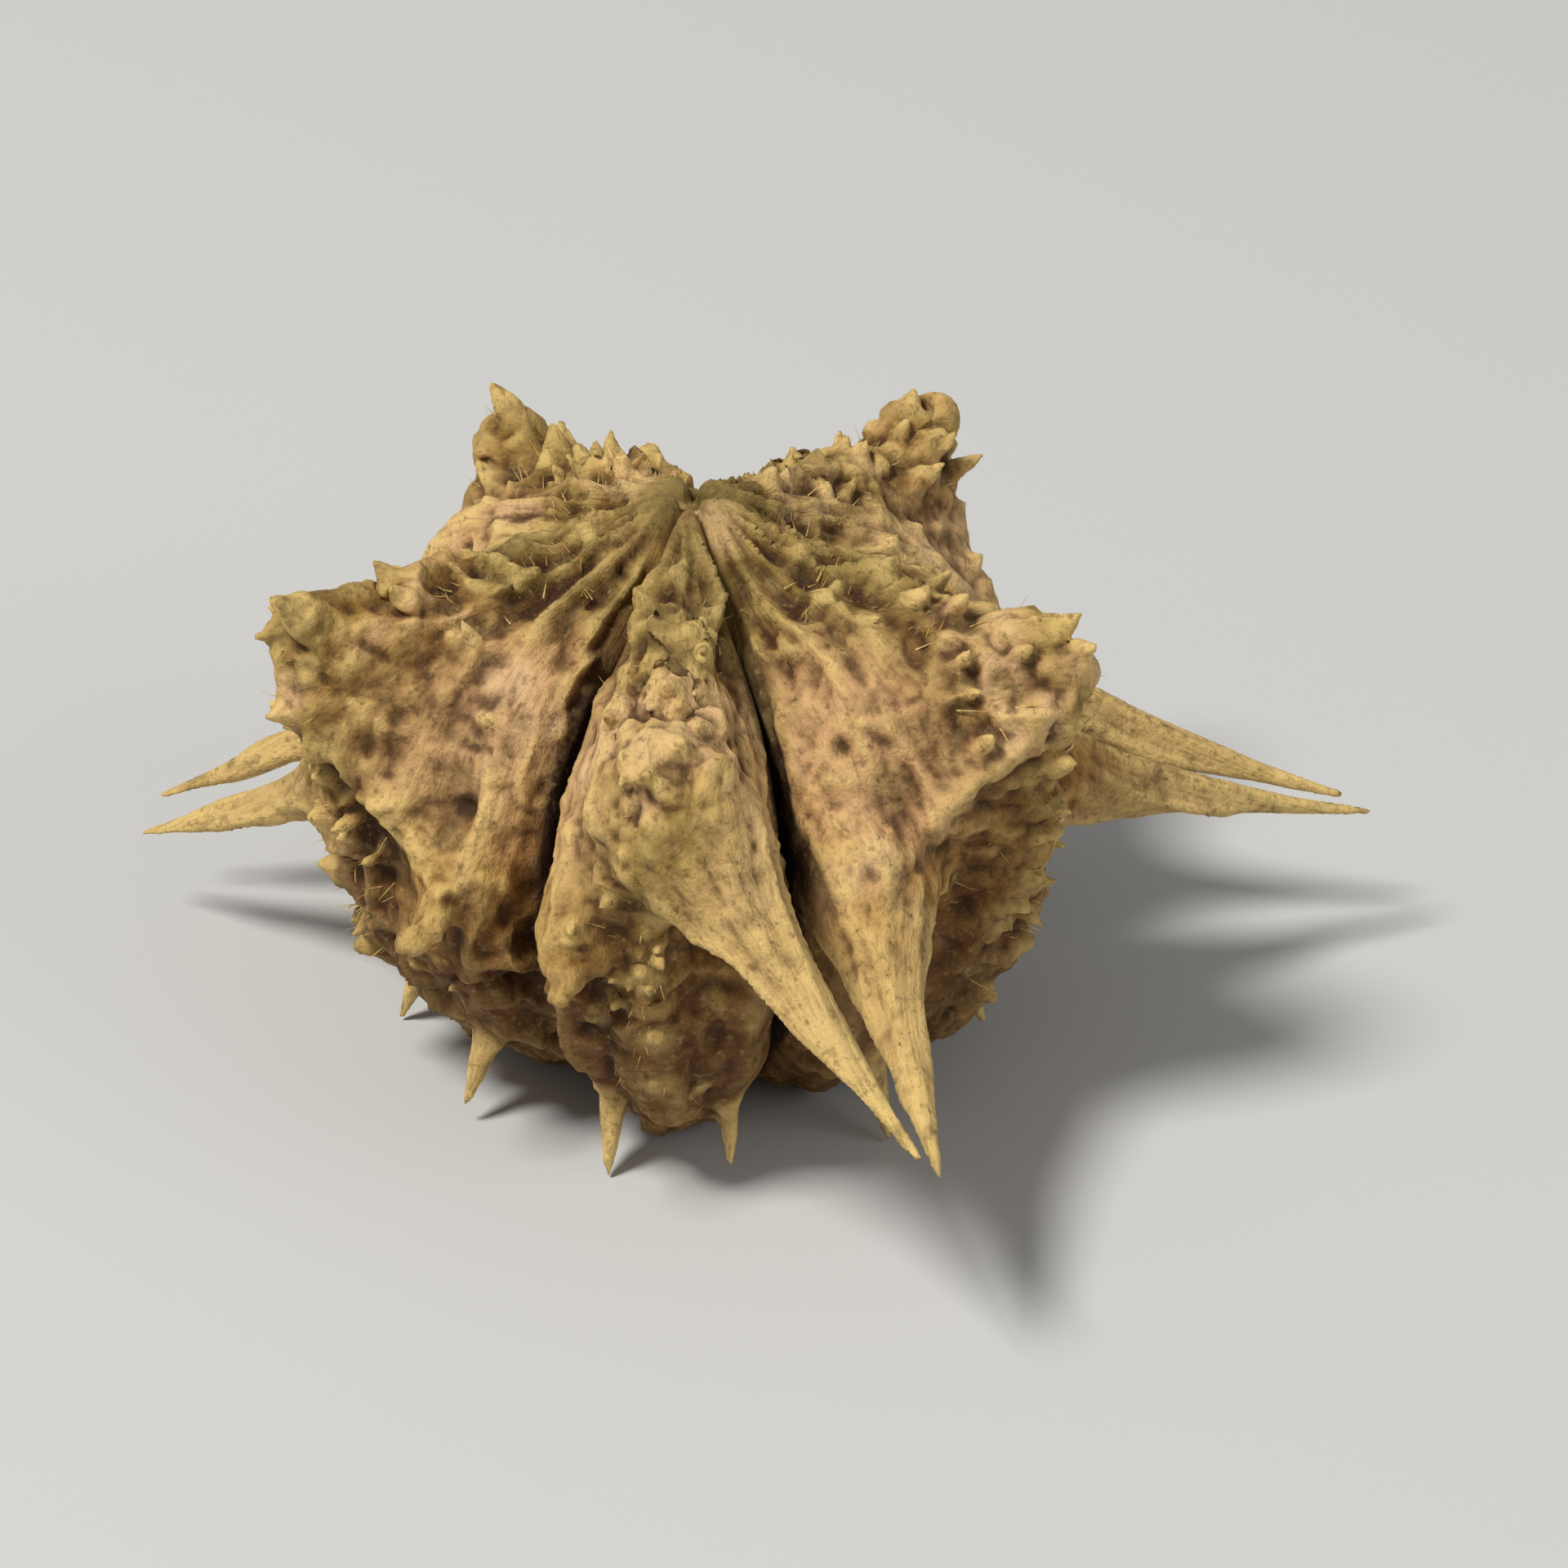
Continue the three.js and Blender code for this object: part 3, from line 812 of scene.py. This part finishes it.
def husk_colour(points, at, blush, seed):
    """Patches of the plain colours, browner towards the foot, partly the husk's own colour and partly
    painted shade; the painted highlights and shade are laid on after.
    """
    hue = layered(points, 1.6, seed + 7)
    tint = mix(TAN, ORANGE, smoothstep(0.4, 0.66, hue) * 0.9)
    tint = mix(tint, PINK, smoothstep(0.5, 0.7, blush) * 0.7)
    # Pinker upper cheeks: partly the husk's own blush, partly a painted highlight where the cheeks face up
    # to the light.
    tint = mix(tint, PINK, at.cheek * by_level(84, 66, at.level) * 0.6)
    upper = np.clip(0.8 * at.crest + 0.85 * at.top, 0, 1)
    tint = mix(tint, OLIVE, upper * smoothstep(0.25, 0.6, 1 - blush))
    # Browner towards the foot: partly the husk's own darker foot, partly painted shade under the pod.
    return mix(tint, BROWN, by_level(70, 103, at.level) * 0.9)


def colouring(points, quads, at, stem, grains, pits, seed):
    """Each vertex's colour: pale spines, painted highlights on ridges, and painted shade in hollows and
    cracks.
    """
    blush = layered(points, 1.1, seed + 8)
    tint = husk_colour(points, at, blush, seed)
    bare = mix(tint, STRAW, smoothstep(0.05, 0.5, stem.along + 0.35 * (blush - 0.5)))
    tint = mix(tint, mix(bare, PALE, smoothstep(0.6, 0.95, stem.along) * 0.7), stem.spine)
    # How deep each vertex lies in the hollows, at a coarse and a fine scale, for the painted shade.
    depth = depth_below(points, quads, DEPTH_ROUNDS)
    fine_depth = depth_below(points, quads, 6)
    # How strongly highlights and shade are painted: less on bare spine shafts and on calm cheeks.
    painted_light_strength = (1 - 0.4 * stem.shaft) * (1 - 0.2 * at.cheek)
    # Fewer painted highlights towards the foot, which is painted as lying in shade.
    low = by_level(74, 104, at.level) * (1 - stem.spine)
    painted_ridge_highlight = smoothstep(-0.01, -0.08, depth) * (1 - 0.8 * low) * (1 - 0.6 * np.maximum(at.crest, at.top))
    # Painted highlights on the ridges, and painted shade, brown and then dark, in the hollows and fine
    # creases.
    tint = mix(tint, PALE, painted_ridge_highlight * 0.7 * painted_light_strength)
    tint = mix(tint, BROWN, smoothstep(-0.015, 0.04, depth) * 0.8 * painted_light_strength)
    tint = mix(tint, DARK, smoothstep(0.025, 0.09, depth) * 0.75 * painted_light_strength)
    tint = mix(tint, DARK, smoothstep(0.004, 0.02, fine_depth) * 0.5 * painted_light_strength)
    # Painted shade in the cracks and on the inner faces between nutlets, partly also the grooves' own
    # darker brown.
    cracks = np.clip(bell(at.from_crack, 0.2) * 0.6 + at.inner * 0.7, 0, 1) * (1 - stem.spine)
    tint = mix(tint, DARK, cracks * by_level(12, 45, at.level))
    tint = mix(tint, DARK, pits * 0.8)
    # Paler granules and tooth tips: partly their own paler colour, partly a painted highlight on these
    # proud points.
    return mix(tint, PALE, np.clip(grains * 0.3 + stem.tooth * 0.4, 0, 1) * (1 - at.inner))


def dress(points, quads, nutlet, stems):
    """Moves the vertices for the fine relief, and returns them with what the material needs at each."""
    at = husk_places(points, nutlet)
    stem = stem_weights(points, stems)
    rise, grains, pits = relief(points, at, stem, nutlet.seed)
    points = points + vertex_normals(points, quads) * rise[:, None]
    tint = colouring(points, quads, at, stem, grains, pits, nutlet.seed)
    return points, {"tint": tint, "flow": at.flow, "streak": stem.streak, "spine": stem.spine}


# Hairs

def hair_roots(nutlet, rng):
    """Places for hairs on the crest, round the top and a few on the rest of the back."""
    over_all = rng.random(HAIRS) < 0.7
    levels = np.where(over_all, rng.uniform(*HAIR_LEVELS, HAIRS), rng.uniform(*HAIR_TOP_LEVELS, HAIRS))
    spread = np.where(levels < 0.7, 0.75, 0.22)
    places = np.clip(crest_place(nutlet, levels) + rng.normal(0, 1, HAIRS) * spread * 0.6, -0.92, 0.92)
    return levels, places


def hair_points(root, axis, side, length, radius, curl):
    """The rings of one thin hair, from its root to its tip."""
    other = np.cross(axis, side)
    turns = 2 * math.pi * np.arange(HAIR_SIDES) / HAIR_SIDES
    ring = np.cos(turns)[:, None] * side + np.sin(turns)[:, None] * other
    found = []
    for number in range(HAIR_RINGS):
        share = number / (HAIR_RINGS - 1)
        centre = root + axis * length * share + curl * share**2
        found.append(centre + radius * (1 - 0.85 * share) * ring)
    return np.concatenate(found)


def hair_quads(first):
    """The four-cornered faces between a hair's rings, where first is the number of its first point."""
    found = []
    for ring in range(HAIR_RINGS - 1):
        for corner in range(HAIR_SIDES):
            a = first + ring * HAIR_SIDES + corner
            b = first + ring * HAIR_SIDES + (corner + 1) % HAIR_SIDES
            found.append((a, b, b + HAIR_SIDES, a + HAIR_SIDES))
    return found


def hairs(nutlet):
    """Thin hairs that stand out of the back: points and four-cornered faces."""
    rng = np.random.default_rng(HAIR_SEED + nutlet.number)
    points, quads = [], []
    for level, place in zip(*hair_roots(nutlet, rng)):
        root = back_point(nutlet, level, place, -HAIR_SUNK)
        bearing = nutlet.middle + place * nutlet.half_width
        axis = unit(direction(bearing, level) + rng.normal(0, HAIR_LEAN, 3))
        side = unit(np.cross(axis, rng.normal(0, 1, 3)))
        length = rng.uniform(*HAIR_LENGTHS) * (0.6 if level < HAIR_TOP_LEVELS[1] else 1)
        radius = rng.uniform(*HAIR_RADII)
        curl = side * rng.uniform(-HAIR_CURL, HAIR_CURL) * length
        quads += hair_quads(len(points) * HAIR_RINGS * HAIR_SIDES)
        points.append(hair_points(root, axis, side, length, radius, curl))
    return np.concatenate(points), np.array(quads)


# Materials

class Shading:
    """Short ways to add nodes to one material."""

    def __init__(self, name):
        self.material = bpy.data.materials.new(name)
        self.material.use_nodes = True
        self.nodes = self.material.node_tree.nodes
        self.links = self.material.node_tree.links
        self.nodes.clear()

    def attribute(self, name, output):
        made = self.nodes.new("ShaderNodeAttribute")
        made.attribute_name = name
        return made.outputs[output]

    def noise(self, place, size, detail, seed):
        made = self.nodes.new("ShaderNodeTexNoise")
        made.noise_dimensions = "4D"
        made.inputs["Scale"].default_value = 1 / size
        made.inputs["Detail"].default_value = detail
        made.inputs["Roughness"].default_value = 0.62
        made.inputs["W"].default_value = seed
        self.links.new(place, made.inputs["Vector"])
        return made.outputs["Fac"]

    def ranged(self, value, low, high, to_low, to_high):
        made = self.nodes.new("ShaderNodeMapRange")
        self.links.new(value, made.inputs["Value"])
        numbers = {"From Min": low, "From Max": high, "To Min": to_low, "To Max": to_high}
        for name, number in numbers.items():
            made.inputs[name].default_value = number
        return made.outputs["Result"]

    def mixed(self, first, second, share):
        """Mixes two linked numbers by a linked share."""
        made = self.nodes.new("ShaderNodeMix")
        made.data_type = "FLOAT"
        for value, name in ((share, "Factor"), (first, "A"), (second, "B")):
            self.links.new(value, made.inputs[name])
        return made.outputs["Result"]

    def painted(self, under, colour, share):
        """Lays a plain colour over a linked one by a linked share."""
        made = self.nodes.new("ShaderNodeMix")
        made.data_type = "RGBA"
        self.links.new(under, made.inputs["A"])
        made.inputs["B"].default_value = (*colour, 1)
        self.links.new(share, made.inputs["Factor"])
        return made.outputs["Result"]

    def bump(self, height, distance, strength, before=None):
        made = self.nodes.new("ShaderNodeBump")
        made.inputs["Strength"].default_value = strength
        made.inputs["Distance"].default_value = distance * MM
        self.links.new(height, made.inputs["Height"])
        if before is not None:
            self.links.new(before, made.inputs["Normal"])
        return made.outputs["Normal"]


def husk_material():
    """The vertex colours, mottled and streaked, with bumps finer than the mesh."""
    shading = Shading("dry_husk")
    place = shading.nodes.new("ShaderNodeTexCoord").outputs["Object"]
    mottle = shading.noise(place, 0.55 * MM, 8, 1.7)
    grain = shading.noise(place, 0.13 * MM, 6, 4.1)
    speck = shading.noise(place, 0.1 * MM, 3, 8.3)
    on_husk = shading.noise(shading.attribute("flow", "Vector"), 0.09, 4, 2.9)
    on_spine = shading.noise(shading.attribute("streak", "Vector"), 0.09, 4, 2.9)
    streak = shading.mixed(on_husk, on_spine, shading.attribute("spine", "Fac"))

    colour = shading.attribute("tint", "Color")
    for paint, texture, low, high, most in (
        (PALE, mottle, 0.5, 0.7, 0.25),
        (BROWN * 0.6, mottle, 0.47, 0.32, 0.6),
        (BROWN * 0.7, streak, 0.5, 0.28, 0.5),
        (BROWN * 0.5, grain, 0.46, 0.3, 0.65),
        (PALE, grain, 0.56, 0.75, 0.35),
        (DARK, speck, 0.35, 0.26, 0.7),
    ):
        colour = shading.painted(colour, paint, shading.ranged(texture, low, high, 0, most))

    shader = shading.nodes.new("ShaderNodeBsdfPrincipled")
    shader.inputs["Specular IOR Level"].default_value = 0.32
    shading.links.new(colour, shader.inputs["Base Color"])
    shading.links.new(shading.ranged(grain, 0.3, 0.7, 0.92, 0.66), shader.inputs["Roughness"])
    coarse = shading.bump(mottle, 0.13, 0.8)
    ribbed = shading.bump(streak, 0.05, 0.8, coarse)
    shading.links.new(shading.bump(grain, 0.045, 0.9, ribbed), shader.inputs["Normal"])
    output = shading.nodes.new("ShaderNodeOutputMaterial")
    shading.links.new(shader.outputs["BSDF"], output.inputs["Surface"])
    return shading.material


def floor_material():
    material = bpy.data.materials.new("pale_floor")
    material.use_nodes = True
    shader = material.node_tree.nodes["Principled BSDF"]
    shader.inputs["Base Color"].default_value = (*srgb(206, 206, 204), 1)
    shader.inputs["Roughness"].default_value = 0.75
    return material


# Pieces

def add_attributes(mesh, looks):
    """Gives each vertex its colour, its fibres' coordinates and its share in a spine."""
    tint = np.concatenate([looks["tint"], np.ones((len(looks["tint"]), 1))], 1)
    layer = mesh.color_attributes.new("tint", "FLOAT_COLOR", "POINT")
    layer.data.foreach_set("color", tint.astype(np.float32).ravel())
    for name in ("flow", "streak"):
        layer = mesh.attributes.new(name, "FLOAT_VECTOR", "POINT")
        layer.data.foreach_set("vector", looks[name].astype(np.float32).ravel())
    layer = mesh.attributes.new("spine", "FLOAT", "POINT")
    layer.data.foreach_set("value", looks["spine"].astype(np.float32))


def make_piece(name, points, quads, looks, material):
    mesh = bpy.data.meshes.new(name)
    mesh.vertices.add(len(points))
    mesh.vertices.foreach_set("co", (points * MM).astype(np.float32).ravel())
    mesh.loops.add(len(quads) * 4)
    mesh.loops.foreach_set("vertex_index", quads.astype(np.int32).ravel())
    mesh.polygons.add(len(quads))
    mesh.polygons.foreach_set("loop_start", np.arange(0, len(quads) * 4, 4, dtype=np.int32))
    mesh.update(calc_edges=True)
    mesh.polygons.foreach_set("use_smooth", np.ones(len(quads), bool))
    add_attributes(mesh, looks)
    mesh.validate()
    mesh.materials.append(material)
    piece = bpy.data.objects.new(name, mesh)
    bpy.context.scene.collection.objects.link(piece)
    return piece


def pod_shift(nutlets):
    """What moves the pod so that its outermost spine tips lie even about the origin."""
    tips = []
    for nutlet in nutlets:
        for side in (-1, 1):
            tips.append(spine_ends(nutlet, side)[1] + direction(nutlet.middle) * CRACK_SHIFT)
    tips = np.array(tips)
    middle = (tips.min(0) + tips.max(0)) / 2
    return np.array([-middle[0], -middle[1], 0])


def nutlet_stems(nutlet):
    draw = seeded_random(TOOTH_SEED + nutlet.number)
    found = []
    for side in (-1, 1):
        found += [long_spine(nutlet, side), foot_spine(nutlet, side)]
    return found + teeth(nutlet, draw) + warts(nutlet, draw) + denticles(nutlet)


def with_hairs(points, quads, looks, nutlet):
    """Adds the hairs to a nutlet's mesh."""
    more, more_quads = hairs(nutlet)
    pale = np.tile(PALE, (len(more), 1))
    added = {"tint": pale, "flow": more, "streak": more, "spine": np.zeros(len(more))}
    looks = {name: np.concatenate([values, added[name]]) for name, values in looks.items()}
    return np.concatenate([points, more]), np.concatenate([quads, more_quads + len(points)]), looks


def build_nutlet(nutlet, shift, material):
    stems = nutlet_stems(nutlet)
    moved = direction(nutlet.middle) * CRACK_SHIFT + shift
    low, high = (np.array(corner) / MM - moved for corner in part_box(nutlet.name))
    low = low - GRID_ROOM
    shape = tuple(np.ceil((high + GRID_ROOM - low) / VOXEL).astype(int))
    points, quads = keep_largest(*mesh_of_field(nutlet_field(nutlet, stems, low, shape), low))
    points, looks = dress(points, quads, nutlet, stems)
    points, quads, looks = with_hairs(points, quads, looks, nutlet)
    piece = make_piece("husk_of_" + nutlet.name, points + moved, quads, looks, material)
    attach(piece, "root")
    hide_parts(nutlet.name)


def add_camera():
    data = bpy.data.cameras.new("camera")
    data.lens = LENS
    data.clip_start = 0.005
    camera = bpy.data.objects.new("camera", data)
    bpy.context.scene.collection.objects.link(camera)
    away = Vector((0, -math.cos(CAMERA_ELEVATION), math.sin(CAMERA_ELEVATION)))
    camera.location = Vector(LOOK_AT) + away * CAMERA_AWAY
    camera.rotation_euler = away.to_track_quat("Z", "Y").to_euler()
    bpy.context.scene.camera = camera


def add_light(name, place, size, power, colour):
    data = bpy.data.lights.new(name, "AREA")
    data.shape = "DISK"
    data.size = size
    data.energy = power
    data.color = colour
    light = bpy.data.objects.new(name, data)
    light.location = place
    light.rotation_euler = (Vector(place) - Vector(LIT_POINT)).to_track_quat("Z", "Y").to_euler()
    bpy.context.scene.collection.objects.link(light)


def add_studio():
    mesh = bpy.data.meshes.new("floor")
    corners = [(FLOOR_REACH * x, FLOOR_REACH * y, 0) for x, y in ((-1, -1), (1, -1), (1, 1), (-1, 1))]
    mesh.from_pydata(corners, [], [(0, 1, 2, 3)])
    mesh.materials.append(floor_material())
    floor = bpy.data.objects.new("floor", mesh)
    bpy.context.scene.collection.objects.link(floor)
    for light in LIGHTS:
        add_light(*light)
    world = bpy.data.worlds.new("studio")
    world.use_nodes = True
    background = world.node_tree.nodes["Background"]
    background.inputs["Color"].default_value = (*srgb(236, 238, 240), 1)
    background.inputs["Strength"].default_value = SKY_STRENGTH
    bpy.context.scene.world = world
    bpy.context.scene.view_settings.view_transform = "Standard"


nutlets = [Nutlet(number, *row) for number, row in enumerate(NUTLETS)]
shift = pod_shift(nutlets)
husk = husk_material()
for nutlet in nutlets:
    build_nutlet(nutlet, shift, husk)
add_camera()
add_studio()
